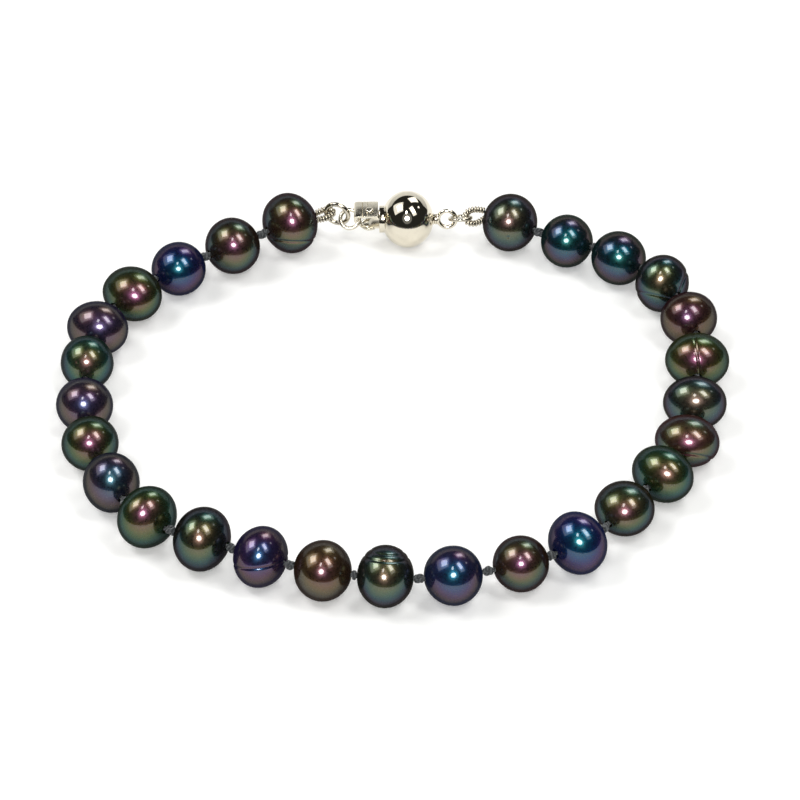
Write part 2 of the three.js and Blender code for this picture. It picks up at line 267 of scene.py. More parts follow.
# Each pearl: body is the dye's colour, film the thickness in nm of the outermost layers, which
# gives the sheen, vary how far it drifts over the pearl, and play how lively the colour is (the
# film's IOR). A groove is the way its axis points, its height on it, its width and its depth. A
# bulge is the way to its middle, its width and its rise. All are shares of the radius.
pearlLooks = {
    "pearl_01": {"body": "#21130f", "film": 502, "vary": 14, "play": 1.27,
                 "grooves": [((0.02, 0.43, 0.90), -0.46, 0.042, 0.030)]},
    "pearl_02": {"body": "#1d140f", "film": 511, "vary": 14, "play": 1.25},
    "pearl_03": {"body": "#0b1230", "film": 365, "vary": 12, "play": 1.32},
    "pearl_04": {"body": "#1b1c0e", "film": 478, "vary": 14, "play": 1.33,
                 "bulges": [((-0.85, 0.1, 0.1), 0.42, 0.03)]},
    "pearl_05": {"body": "#161425", "film": 350, "vary": 16, "play": 1.21},
    "pearl_06": {"body": "#12201a", "film": 468, "vary": 14, "play": 1.29,
                 "bulges": [((-0.30, -0.68, 0.55), 0.05, -0.02)]},
    "pearl_07": {"body": "#171526", "film": 350, "vary": 16, "play": 1.21},
    "pearl_08": {"body": "#161c0f", "film": 485, "vary": 14, "play": 1.31},
    "pearl_09": {"body": "#10131f", "film": 404, "vary": 14, "play": 1.18},
    "pearl_10": {"body": "#141e10", "film": 476, "vary": 14, "play": 1.33},
    "pearl_11": {"body": "#10100e", "film": 486, "vary": 18, "play": 1.25},
    "pearl_12": {"body": "#17122b", "film": 350, "vary": 12, "play": 1.27,
                 "grooves": [((-0.08, 0.40, 0.92), -0.10, 0.042, 0.034)]},
    "pearl_13": {"body": "#22160f", "film": 300, "vary": 16, "play": 1.25},
    "pearl_14": {"body": "#131512", "film": 500, "vary": 18, "play": 1.21,
                 "grooves": [((0.05, 0.50, 0.86), 0.62, 0.035, 0.026),
                             ((0.08, 0.50, 0.86), 0.80, 0.03, 0.016)]},
    "pearl_15": {"body": "#10172e", "film": 368, "vary": 14, "play": 1.27},
    "pearl_16": {"body": "#21150d", "film": 523, "vary": 14, "play": 1.24},
    "pearl_17": {"body": "#0b1436", "film": 372, "vary": 12, "play": 1.31},
    "pearl_18": {"body": "#1a180e", "film": 490, "vary": 16, "play": 1.26},
    "pearl_19": {"body": "#14200f", "film": 478, "vary": 14, "play": 1.28},
    "pearl_20": {"body": "#2a1713", "film": 497, "vary": 14, "play": 1.27,
                 "grooves": [((0.1, 0.75, 0.65), -0.62, 0.05, 0.028)]},
    "pearl_21": {"body": "#121314", "film": 505, "vary": 18, "play": 1.18},
    "pearl_22": {"body": "#1e200c", "film": 476, "vary": 14, "play": 1.34,
                 "grooves": [((0.995, 0.1, 0.05), -0.06, 0.034, 0.024)]},
    "pearl_23": {"body": "#1f0f12", "film": 318, "vary": 14, "play": 1.25},
    "pearl_24": {"body": "#101311", "film": 473, "vary": 18, "play": 1.23,
                 "grooves": [((0.25, 0.60, 0.76), -0.52, 0.045, 0.026),
                             ((-0.9, 0.2, 0.3), -0.72, 0.05, 0.03)]},
    "pearl_25": {"body": "#0b1919", "film": 398, "vary": 14, "play": 1.27},
    "pearl_26": {"body": "#0a1a1a", "film": 392, "vary": 14, "play": 1.27},
    "pearl_27": {"body": "#131211", "film": 520, "vary": 20, "play": 1.18,
                 "bulges": [((-0.06, -0.98, 0.10), 0.045, -0.03)]},
}
pearlMake = {
    "segments": 96,
    "rings": 64,
    "boreRadius": 0.42,  # mm
    "mouthRounding": 0.05,
    "poleShare": 1.022,  # the tip of the round pearl, past the edge of its drill hole
    "shortestBore": 4,  # the CAD's edges longer than this, in mm, run along the drill hole
    "roundRadius": 3,  # mm, of the round pearl that all of them are shaped from
}


def drillFrame(node, towards):
    mesh = nodes[node].data
    corners = np.array([vertex.co for vertex in mesh.vertices]) / mm
    total = np.zeros(3)
    for edge in mesh.edges:
        run = corners[edge.vertices[1]] - corners[edge.vertices[0]]
        if np.linalg.norm(run) > pearlMake["shortestBore"]:
            total += unit(run) * (1 if run @ towards > 0 else -1)
    axis = unit(total)
    axis[2] = 0
    axis = unit(axis)
    across = np.array((-axis[1], axis[0], 0.0))
    points = cornersOf(node)
    centre = (points.min(0) + points.max(0)) / 2
    local = points - centre
    half = (np.abs(local @ axis).max() * pearlMake["poleShare"],
            np.abs(local @ across).max(), np.abs(local[:, 2]).max())
    return {"centre": centre, "axis": axis, "across": across, "half": np.array(half)}


pearlNames = sorted(name for name in nodes if name.startswith("pearl_"))
pearlCentres = {}
for name in pearlNames:
    low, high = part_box(name)
    pearlCentres[name] = np.array((low + high) / 2) / mm
pearlFrames = {}
for i, name in enumerate(pearlNames):
    before = pearlCentres[pearlNames[max(i - 1, 0)]]
    after = pearlCentres[pearlNames[min(i + 1, len(pearlNames) - 1)]]
    pearlFrames[name] = drillFrame(name, after - before)


# Leaves only those faces, edges or vertices selected whose middle, in mm, passes the test.
def choose(piece, kind, test):
    bpy.ops.mesh.select_mode(type=kind)
    bpy.ops.mesh.select_all(action="DESELECT")
    bpy.ops.object.mode_set(mode="OBJECT")
    mesh = piece.data
    corners = np.array([vertex.co for vertex in mesh.vertices]) / mm
    if kind == "VERT":
        for vertex, corner in zip(mesh.vertices, corners):
            vertex.select = bool(test(corner))
    elif kind == "EDGE":
        for edge in mesh.edges:
            edge.select = all(test(corners[i]) for i in edge.vertices)
    else:
        for face in mesh.polygons:
            face.select = bool(test(corners[list(face.vertices)].mean(0)))
    bpy.ops.object.mode_set(mode="EDIT")


def offAxis(corner):
    return math.hypot(corner[1], corner[2])


def basePearl():  # a round pearl along X, drilled through, with softly rounded hole mouths
    make = pearlMake
    deselectAll()
    bpy.ops.mesh.primitive_uv_sphere_add(
        segments=make["segments"], ring_count=make["rings"],
        radius=make["roundRadius"] * mm)
    pearl = bpy.context.object
    pearl.data.transform(Matrix.Rotation(math.pi / 2, 4, "Y"))
    makeActive(pearl)
    bpy.ops.object.mode_set(mode="EDIT")
    choose(pearl, "FACE", lambda c: offAxis(c) < make["boreRadius"])
    bpy.ops.mesh.delete(type="FACE")
    rim = 1.1 * make["boreRadius"]
    choose(pearl, "EDGE", lambda c: offAxis(c) < rim)
    bpy.ops.mesh.bridge_edge_loops()
    bpy.ops.mesh.select_all(action="DESELECT")
    bpy.ops.object.mode_set(mode="OBJECT")
    corners = np.array([vertex.co for vertex in pearl.data.vertices]) / mm
    for edge in pearl.data.edges:
        a, b = (corners[i] for i in edge.vertices)
        edge.select = bool(offAxis(a) < rim and offAxis(b) < rim and abs(a[0] - b[0]) < 0.1)
    bpy.ops.object.mode_set(mode="EDIT")
    bpy.ops.mesh.bevel(offset=make["mouthRounding"] * mm, segments=3, profile=0.5)
    bpy.ops.mesh.select_all(action="SELECT")
    bpy.ops.mesh.normals_make_consistent(inside=False)
    bpy.ops.object.mode_set(mode="OBJECT")
    return pearl


# Moves the surface along its radius: bumps, hollows and ring grooves as shares of the radius.
def surfaceGrowth(outwards, look, seed):
    chance = np.random.default_rng(seed)
    growth = np.zeros(len(outwards))
    for size, waves in ((0.006, 2.0), (0.004, 3.5), (0.0015, 7.0)):
        for _ in range(3):
            lean = unit(chance.normal(size=3))
            growth += size * np.cos(waves * (outwards @ lean) + chance.uniform(0, 6.3))
    growth -= growth.mean()
    for lean, height, width, depth in look.get("grooves", ()):
        lean = unit(np.array(lean))
        growth -= depth * np.exp(-(((outwards @ lean) - height) / width) ** 2)
    for lean, width, rise in look.get("bulges", ()):
        lean = unit(np.array(lean))
        apart = np.arccos(np.clip(outwards @ lean, -1, 1))
        growth += rise * np.exp(-(apart / width) ** 2)
    return growth


def makePearl(base, name, number):
    look = pearlLooks[name]
    place = pearlFrames[name]
    pearl = base.copy()
    pearl.data = base.data.copy()
    pearl.name = pearl.data.name = name.replace("pearl_", "pearl")
    bpy.context.scene.collection.objects.link(pearl)
    if "grooves" in look or "bulges" in look:
        applyModifier(pearl, "SUBSURF", levels=1, render_levels=1, subdivision_type="SIMPLE")
    corners = np.zeros(len(pearl.data.vertices) * 3)
    pearl.data.vertices.foreach_get("co", corners)
    local = corners.reshape(-1, 3) / (pearlMake["roundRadius"] * mm)
    turn = np.array([place["axis"], place["across"], (0.0, 0.0, 1.0)])
    outwards = local / np.linalg.norm(local, axis=1)[:, None] @ turn
    growth = surfaceGrowth(outwards, look, number)
    shaped = (local * place["half"]) @ turn * (1 + growth)[:, None] + place["centre"]
    shaped[:, 2] -= shaped[:, 2].min()
    pearl.data.vertices.foreach_set("co", (shaped * mm).astype(np.float32).ravel())
    pearl.data.update()
    smooth(pearl)
    pearl.data.materials.append(nacre(name, look))
    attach(pearl, "root")
    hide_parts(name)
    return pearl


nacreMake = {
    "plates": 0.3,  # roughness of the light that comes back out of the stacked plates
    "skin": 0.08,  # roughness of the polished skin
    "rimShade": 0.93,  # share of the gloss swapped for the dark body towards the rim, a painted rim shade
    "clouds": 3.846,  # mm, drift of colour over the pearl
    "mottle": 0.3125,  # mm, the growth pattern, coarse enough to show
    "swell": 1.111,  # mm, the softest waves of the surface
    "swellDepth": 0.02,
    "mottleDepth": 0.002,
}


# Nacre, dyed dark and polished: thin plates of aragonite over a dark heart. The eye gets a crisp
# lamp in the skin and, under it, soft light whose colour turns with the slope as on a soap bubble.
# Nacre is no metal. The metallic share and the high IOR only set how strong that colour is.
def nacre(name, look):
    make = nacreMake
    material, shader = newMaterial("darkNacre" + name[-2:])
    place = addNode(material, "ShaderNodeTexCoord")
    clouds = addNode(material, "ShaderNodeTexNoise",
                     {"Scale": 1 / (make["clouds"] * mm), "Detail": 2.0, "Roughness": 0.45},
                     {"Vector": place.outputs["Object"]})
    mottle = addNode(material, "ShaderNodeTexNoise",
                     {"Scale": 1 / (make["mottle"] * mm), "Detail": 3.0, "Roughness": 0.6},
                     {"Vector": place.outputs["Object"]})
    blend = addNode(material, "ShaderNodeMath",
                    {"operation": "MULTIPLY_ADD", 1: 0.3},
                    {0: mottle.outputs["Fac"], 2: clouds.outputs["Fac"]})
    film = addNode(material, "ShaderNodeMapRange",
                   {"From Min": 0.36, "From Max": 0.94, "To Min": look["film"] - look["vary"],
                    "To Max": look["film"] + look["vary"]},
                   {"Value": blend.outputs[0]})
    body = linearColour(look["body"])
    tone = addNode(material, "ShaderNodeMix",
                   {"data_type": "RGBA", 6: tuple(c * 0.6 for c in body[:3]) + (1,),
                    7: tuple(c * 1.5 for c in body[:3]) + (1,)},
                   {0: clouds.outputs["Fac"]})
    gloss = addNode(material, "ShaderNodeMapRange",
                    {"From Min": 0.3, "From Max": 0.7, "To Min": make["plates"] - 0.06,
                     "To Max": make["plates"] + 0.06},
                    {"Value": mottle.outputs["Fac"]})
    swell = addNode(material, "ShaderNodeTexNoise",
                    {"Scale": 1 / (make["swell"] * mm), "Detail": 1.0},
                    {"Vector": place.outputs["Object"]})
    relief = addNode(material, "ShaderNodeBump",
                     {"Strength": 0.25, "Distance": make["swellDepth"] * mm},
                     {"Height": swell.outputs["Fac"]})
    grain = addNode(material, "ShaderNodeBump",
                    {"Strength": 0.15, "Distance": make["mottleDepth"] * mm},
                    {"Height": mottle.outputs["Fac"], "Normal": relief.outputs["Normal"]})
    heart = addNode(material, "ShaderNodeBsdfDiffuse", {"Color": body})
    # the gloss fades towards the rim, matched to the dark rims in the photo, not to a known cause
    # painted shade: the mix below swaps the gloss for the dark body towards the rim, which darkens
    # the rims
    slope = addNode(material, "ShaderNodeLayerWeight", {"Blend": 0.5})
    paintedRimShade = addNode(material, "ShaderNodeMapRange",
                     {"From Min": 0.06, "From Max": 0.6, "To Max": make["rimShade"]},
                     {"Value": slope.outputs["Facing"]})
    whole = addNode(material, "ShaderNodeMixShader",
                    links={0: paintedRimShade.outputs[0], 1: shader.outputs[0], 2: heart.outputs[0]})
    wire = material.node_tree.links.new
    wire(tone.outputs[2], shader.inputs["Base Color"])
    wire(gloss.outputs[0], shader.inputs["Roughness"])
    wire(film.outputs[0], shader.inputs["Thin Film Thickness"])
    wire(grain.outputs["Normal"], shader.inputs["Normal"])
    wire(whole.outputs[0], material.node_tree.nodes["Material Output"].inputs["Surface"])
    setSockets(shader, Metallic=0.45, IOR=2.4, Thin_Film_IOR=look["play"], Coat_Weight=1.0,
               Coat_Roughness=make["skin"], Coat_IOR=1.62)
    return material


base = basePearl()
pearls = [makePearl(base, name, i + 1) for i, name in enumerate(pearlNames)]
bpy.data.objects.remove(base)
print("pearls made:", len(pearls))

# Silk thread through the pearls, its knots, and its end loops inside the coils, in mm
silkMake = {
    "thread": 0.46,
    "knotThickness": 1.04,
    "knotStrand": 0.4,
    "knotLength": 1.05,
    "plies": 3,
    "layLength": 1.3,  # one full turn of a ply
    "fibre": 0.0714,  # a bundle of fibres, as one fibre is too fine to show
}
# The coils of wire round the end loops, in mm. The rope they make is thicker than the CAD's.
coilMake = {"outer": 0.74, "wire": 0.25, "pitch": 0.3, "core": 0.2, "gap": 0.06}


def ends(name):  # where the thread goes in and comes out
    place = pearlFrames[name]
    reach = place["axis"] * place["half"][0]
    return place["centre"] - reach, place["centre"] + reach


def silkKnot(start, end, number):
    middle = (start + end) / 2
    space = np.linalg.norm(end - start)
    along = (end - start) / space
    make = silkMake
    strand = make["knotStrand"] / 2
    length = min(make["knotLength"], space * 0.96)
    reach = make["knotThickness"] / 2 - strand
    outer = reach * 0.72
    t = np.linspace(0, 2 * np.pi, 73)[:-1]
    turn = 2 * t + number * 2.4
    radius = outer + (reach - outer) * np.cos(3 * t)
    side = unit(np.cross(along, (0, 0, 1.0)))
    up = np.cross(side, along)
    path = (middle + np.outer(np.sin(3 * t) * max(length / 2 - strand, 0.08), along)
            + np.outer(radius * np.cos(turn), side) + np.outer(radius * np.sin(turn), up))
    return sweptTube("knot", path, strand, 10, closed=True)


# The frame of a flat loop or ring from its CAD node: middle, X in its plane, and its normal.
def flatFrame(node, towards):
    points = cornersOf(node)
    middle = points.mean(0)
    leans = np.linalg.eigh(np.cov((points - middle).T))[1]
    normal = leans[:, 0]
    towards = np.asarray(towards, float) - middle
    choices = [leans[:, k] for k in (1, 2)]
    ahead = max(choices, key=lambda lean: abs(lean @ towards))
    ahead = ahead * (1 if ahead @ towards > 0 else -1)
    across = np.cross(normal, ahead)
    return {"points": points, "middle": middle, "ahead": ahead, "across": across,
            "normal": normal}


def coilLine(node, mouth):  # the middle line of a looped coil, from its one end to the other
    flat = flatFrame(node, mouth)
    local = flat["points"] - flat["middle"]
    x = local @ flat["ahead"]
    y = local @ flat["across"]
    length, width = np.ptp(x), np.ptp(y)
    thick = coilMake["outer"]
    reach = length - thick / 2
    half = (width - thick) / 2
    tip = (thick + coilMake["gap"]) / 2
    upper = [(reach, tip), (reach * 0.74, tip + (half - tip) * 0.6), (reach * 0.45, half),
             (reach * 0.12, half * 0.72)]
    shape = upper + [(0, 0)] + [(a, -b) for a, b in reversed(upper)]
    start = flat["middle"] + flat["ahead"] * (x.min() + thick / 2)
    start = start + flat["across"] * (y.min() + y.max()) / 2
    points = [start + flat["ahead"] * a + flat["across"] * b for a, b in shape]
    return smoothLine(points, 12)


coilMouths = {"gimp_left": ends(pearlNames[0])[0], "gimp_right": ends(pearlNames[-1])[1]}
coilLines = {node: coilLine(node, mouth) for node, mouth in coilMouths.items()}


def makeSilk():
    parts = []
    path = []
    for i, name in enumerate(pearlNames):
        start, end = ends(name)
        path += list(np.linspace(start, end, 12))
        if i + 1 < len(pearlNames):
            following = ends(pearlNames[i + 1])[0]
            parts.append(silkKnot(end, following, i))
    parts.insert(0, sweptTube("thread", evenLine(np.array(path), 0.4),
                              silkMake["thread"] / 2, 12))
    for node, mouth in coilMouths.items():
        line = coilLines[node]
        inside = mouth + (mouth - line[[0, -1]].mean(0)) * 0.6
        whole = np.vstack([[inside], line, [inside]])
        parts.append(sweptTube("loop", evenLine(whole, 0.15), coilMake["core"] / 2, 8))
    silk = joinPieces("silkThread", parts)
    silk.data.materials.append(twistedSilk())
    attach(silk, "root")
    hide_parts("silk_thread")


# Silk bead cord, three plies twisted together: dull, with a faint sheen where the plies turn.
def twistedSilk():
    make = silkMake
    material, shader = newMaterial("twistedSilk")
    place = addNode(material, "ShaderNodeTexCoord")
    split = addNode(material, "ShaderNodeSeparateXYZ", links={0: place.outputs["UV"]})
    along = addNode(material, "ShaderNodeMath",
                    {"operation": "MULTIPLY", 1: make["plies"] / make["layLength"]},
                    {0: split.outputs[0]})
    phase = addNode(material, "ShaderNodeMath", {"operation": "MULTIPLY_ADD", 1: make["plies"]},
                    {0: split.outputs[1], 2: along.outputs[0]})
    turn = addNode(material, "ShaderNodeMath", {"operation": "MULTIPLY", 1: 2 * math.pi},
                   {0: phase.outputs[0]})
    ply = addNode(material, "ShaderNodeMath", {"operation": "COSINE"}, {0: turn.outputs[0]})
    fibres = addNode(material, "ShaderNodeTexNoise",
                     {"Scale": 1 / (make["fibre"] * mm), "Detail": 2.0},
                     {"Vector": place.outputs["Object"]})
    # painted shade: the colour darkens in the grooves between the plies and lightens on their
    # crowns, with a random fibre tone mixed in
    fibreAndPlyShade = addNode(material, "ShaderNodeMath", {"operation": "MULTIPLY_ADD", 1: 0.9},
                         {0: fibres.outputs["Fac"], 2: ply.outputs[0]})
    colour = addNode(material, "ShaderNodeMix",
                     {"data_type": "RGBA", 6: linearColour("#1c1e20"),
                      7: linearColour("#5a5e60")})
    shade = addNode(material, "ShaderNodeMapRange",
                    {"From Min": -0.8, "From Max": 1.9}, {"Value": fibreAndPlyShade.outputs[0]})
    relief = addNode(material, "ShaderNodeBump", {"Strength": 0.9, "Distance": 0.05 * mm},
                     {"Height": fibreAndPlyShade.outputs[0]})
    wire = material.node_tree.links.new
    wire(shade.outputs[0], colour.inputs[0])
    wire(colour.outputs[2], shader.inputs["Base Color"])
    wire(relief.outputs["Normal"], shader.inputs["Normal"])
    setSockets(shader, Roughness=0.75, Sheen_Weight=0.25, Sheen_Roughness=0.4)
    return material


makeSilk()
print("silk thread and knots made")


silverDulled = "#b9b1a2"  # the tone of the scuffed spots
scuffSize = 0.3846  # mm


# Silver, polished, stamped or drawn to wire: a warm white mirror with the finest scuffs.
def brightSilver(name, tone, roughness, scuffs):
    material, shader = newMaterial(name)
    place = addNode(material, "ShaderNodeTexCoord")
    wear = addNode(material, "ShaderNodeTexNoise",
                   {"Scale": 1 / (scuffSize * mm), "Detail": 4.0, "Roughness": 0.65},
                   {"Vector": place.outputs["Object"]})
    gloss = addNode(material, "ShaderNodeMapRange",
                    {"From Min": 0.3, "From Max": 0.7, "To Min": roughness * 0.7,
                     "To Max": roughness * 1.4}, {"Value": wear.outputs["Fac"]})
    colour = addNode(material, "ShaderNodeMix",
                     {"data_type": "RGBA", 6: linearColour(tone), 7: linearColour(silverDulled)})
    share = addNode(material, "ShaderNodeMapRange",
                    {"From Min": 0.55, "From Max": 0.85, "To Max": 0.5},
                    {"Value": wear.outputs["Fac"]})
    relief = addNode(material, "ShaderNodeBump",
                     {"Strength": scuffs, "Distance": 0.004 * mm}, {"Height": wear.outputs["Fac"]})
    wire = material.node_tree.links.new
    wire(share.outputs[0], colour.inputs[0])
    wire(colour.outputs[2], shader.inputs["Base Color"])
    wire(gloss.outputs[0], shader.inputs["Roughness"])
    wire(relief.outputs["Normal"], shader.inputs["Normal"])
    setSockets(shader, Metallic=1.0)
    return material


polishedSilver = brightSilver("polishedSilver", "#dbd4c3", 0.05, 0.1)
stampedSilver = brightSilver("stampedSilver", "#dbd4c3", 0.2, 0.3)
# painted shade: the wire's silver is the same silver in a darker tone, standing in for the dark
# pearls that the thin wire mirrors
shadedWireSilver = brightSilver("drawnSilverWireShaded", "#c4bdad", 0.12, 0.3)


def finishMetal(piece, node, material):
    piece.data.materials.clear()
    piece.data.materials.append(material)
    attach(piece, "root")
    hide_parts(node)


def makeCoil(node, name):
    make = coilMake
    line = evenLine(coilLines[node], 0.02)
    along = lengthAlong(line)
    turns = along[-1] / make["pitch"]
    steps = int(turns * 20)
    where = np.linspace(0, along[-1], steps)
    middle = np.stack([np.interp(where, along, line[:, k]) for k in range(3)], axis=1)
    ahead = np.gradient(middle, axis=0)
    ahead /= np.linalg.norm(ahead, axis=1)[:, None]
    normal = flatFrame(node, coilMouths[node])["normal"]
    side = np.cross(ahead, normal)
    angle = 2 * np.pi * where / make["pitch"]
    radius = (make["outer"] - make["wire"]) / 2
    path = middle + radius * (np.cos(angle)[:, None] * side
                              + np.sin(angle)[:, None] * normal[None, :])
    coil = sweptTube(name, path, make["wire"] / 2, 8)
    finishMetal(coil, node, shadedWireSilver)


makeCoil("gimp_left", "gimpLeft")
makeCoil("gimp_right", "gimpRight")
print("gimp coils made")


# A ring of round wire with the fine slit where the jeweller closed it
def wireRing(name, middle, ahead, normal, radius, wireRadius, slit=True):
    deselectAll()
    bpy.ops.mesh.primitive_torus_add(major_segments=144, minor_segments=28,
                                     major_radius=radius * mm, minor_radius=wireRadius * mm)
    ring = bpy.context.object
    ring.name = name
    if slit:
        makeActive(ring)
        bpy.ops.object.mode_set(mode="EDIT")
        choose(ring, "VERT", lambda c: abs(c[1]) < 0.005 and c[0] > 0)
        bpy.ops.transform.resize(value=(0.8, 1, 0.8), center_override=(radius * mm, 0, 0))
        bpy.ops.object.mode_set(mode="OBJECT")
    across = np.cross(normal, ahead)
    turn = Matrix([[ahead[k], across[k], normal[k], middle[k] * mm] for k in range(3)]
                  + [[0, 0, 0, 1]])
    ring.data.transform(turn)
    smooth(ring)
    return ring


def jumpRing(node, name, slitTowards):
    flat = flatFrame(node, slitTowards)
    middle = flat["middle"]
    local = flat["points"] - middle
    away = np.linalg.norm(local - np.outer(local @ flat["normal"], flat["normal"]), axis=1)
    outer, inner = away.max(), away.min()
    ahead = np.asarray(slitTowards, float) - middle
    ahead = unit(ahead - flat["normal"] * (ahead @ flat["normal"]))
    ring = wireRing(name, middle, ahead, flat["normal"], (outer + inner) / 2,
                    (outer - inner) / 2)
    finishMetal(ring, node, shadedWireSilver)


# The clasp's ball, from its CAD box: the collar ends its low side, and the ring its high side
ballMake = {
    "diameter": 6.0, "length": 5.5, "wall": 0.4,
    "collar": 2.9, "collarLength": 0.22, "mouth": 2.3,
    "neck": 1.15, "neckLength": 0.5,
    "ring": 2.28, "ringWire": 0.44, "ringRoll": 75,
}
low, high = (np.array(corner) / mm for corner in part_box("clasp_ball"))
claspMiddle = np.array((low[0] + ballMake["length"] / 2 + ballMake["collarLength"],
                        (low[1] + high[1]) / 2, (low[2] + high[2]) / 2))


def atClasp(piece):
    piece.data.transform(Matrix.Translation(Vector(claspMiddle) * mm))
    return piece


def arc(reachX, reachR, start, end, steps):  # angles from +X, in radians
    turns = np.linspace(start, end, steps)
    return [(reachX * math.cos(t), reachR * math.sin(t)) for t in turns]


def ballShell():
    make = ballMake
    outer, end = make["diameter"] / 2, make["length"] / 2
    inner, innerEnd = outer - make["wall"], end - make["wall"]
    collar, mouth, neck = make["collar"] / 2, make["mouth"] / 2, make["neck"] / 2
    collarEnd = end + make["collarLength"]
    neckEnd = end + make["neckLength"]
    outline = [(neckEnd, 0), (neckEnd, neck * 0.8), (neckEnd - 0.06, neck * 0.95)]
    for at in (0.36, 0.18):  # two turned beads on the neck
        outline += [(end + at, neck), (end + at - 0.05, neck * 0.98),
                    (end + at - 0.08, neck * 0.84), (end + at - 0.11, neck * 0.98)]
    outline += [(end + 0.02, neck * 1.02)]
    outline += arc(end, outer, math.asin(neck / outer) + 0.02, math.pi - math.asin(collar / outer)
                   - 0.02, 64)
    outline += [(-end + 0.3, collar * 0.99), (-collarEnd + 0.05, collar),
                (-collarEnd + 0.015, collar - 0.015), (-collarEnd, collar - 0.05),
                (-collarEnd, mouth + 0.04), (-collarEnd + 0.04, mouth)]
    outline += arc(innerEnd, inner, math.pi - math.asin(mouth / inner), 0, 28)
    return turnedShape("claspBall", outline, 128)


def makeBall():
    make = ballMake
    shell = ballShell()
    smooth(shell, 35)
    radius = (make["ring"] - make["ringWire"]) / 2
    at = make["length"] / 2 + make["neckLength"] + radius
    roll = math.radians(make["ringRoll"])
    ring = wireRing("neckRing", (at, 0, 0), (1, 0, 0), (0, -math.sin(roll), math.cos(roll)),
                    radius, make["ringWire"] / 2, slit=False)
    solder = turnedShape("solder", [(at - radius - 0.3, 0), (at - radius - 0.28, 0.3),
                                    (at - radius - 0.05, 0.3), (at - radius + 0.1, 0.2),
                                    (at - radius + 0.18, 0)], 32, closed=False)
    smooth(solder)
    ball = atClasp(joinPieces("claspBall", [shell, ring, solder]))
    finishMetal(ball, "clasp_ball", polishedSilver)


makeBall()
jumpRing("jump_ring_left", "jumpRingLeft", coilMouths["gimp_left"] + (0, 0, 6))
jumpRing("jump_ring_right", "jumpRingRight", claspMiddle + (4, 0, 8))
print("ball and jump rings made")

# The tongue, in mm from the middle of the ball, its outer end towards -X
tongueMake = {
    "sheet": 0.25, "collarGap": 0.12, "bladeWidth": 1.5, "bladeReach": 4.0, "leafHeight": 0.55,
    "plateWidth": 2.7, "plateLength": 2.55, "plateTop": 1.4, "plateCurl": 0.45,
    "plateCrown": 0.06,
    "creaseAt": 0.9,  # from the plate's outer end
    "stud": 0.95, "studHeight": 0.2,
    "pan": 1.9, "panDepth": 0.4, "panDrop": 0.55,
    "barWidth": 0.8, "barReach": 0.1, "ring": 2.4, "ringWire": 0.42, "ringRoll": -44,
}


# A strip of sheet, drawn as its line of X and Z, its width along Y, then given its thickness
def foldedSheet(name, line, width, cornerRadius=0.0, crown=0.0):
    deselectAll()
    bpy.ops.mesh.primitive_plane_add(size=1)
    sheet = bpy.context.object
    sheet.name = name
    for vertex in sheet.data.vertices:
        x, z = line[0] if vertex.co.x < 0 else line[1]
        vertex.co = Vector((x, math.copysign(width / 2, vertex.co.y), z)) * mm
    makeActive(sheet)
    bpy.ops.object.mode_set(mode="EDIT")
    x, z = line[1]
    choose(sheet, "EDGE", lambda c: abs(c[0] - x) < 1e-3 and abs(c[2] - z) < 1e-3)
    for before, after in zip(line[1:], line[2:]):
        step = Vector((after[0] - before[0], 0, after[1] - before[1])) * mm
        bpy.ops.mesh.extrude_region_move(TRANSFORM_OT_translate={"value": step})
    if cornerRadius:
        tips = [line[0], line[-1]]
        choose(sheet, "VERT", lambda c: any(abs(c[0] - a) + abs(c[2] - b) < 1e-3
                                            for a, b in tips))
        bpy.ops.mesh.bevel(offset=cornerRadius * mm, affect="VERTICES", segments=4)
    if crown:
        for share in np.linspace(-0.8, 0.8, 9):
            bpy.ops.mesh.select_all(action="SELECT")
            bpy.ops.mesh.bisect(plane_co=(0, share * width / 2 * mm, 0), plane_no=(0, 1, 0))
    bpy.ops.object.mode_set(mode="OBJECT")
    for vertex in sheet.data.vertices:
        across = vertex.co.y / mm / width * 2
        vertex.co.z -= crown * (across + 0.4) ** 2 * mm
    applyModifier(sheet, "SOLIDIFY", thickness=tongueMake["sheet"] * mm, offset=0)
    applyModifier(sheet, "BEVEL", width=0.05 * mm, segments=3, limit_method="ANGLE",
                  angle_limit=math.radians(50))
    makeActive(sheet)
    bpy.ops.object.mode_set(mode="EDIT")
    bpy.ops.mesh.select_all(action="SELECT")
    bpy.ops.mesh.normals_make_consistent(inside=False)
    bpy.ops.object.mode_set(mode="OBJECT")
    smooth(sheet, 40)
    return sheet


def flatCurve(points, steps):
    line = smoothLine([(x, 0, z) for x, z in points], steps)
    return [(x, z) for x, _, z in line]


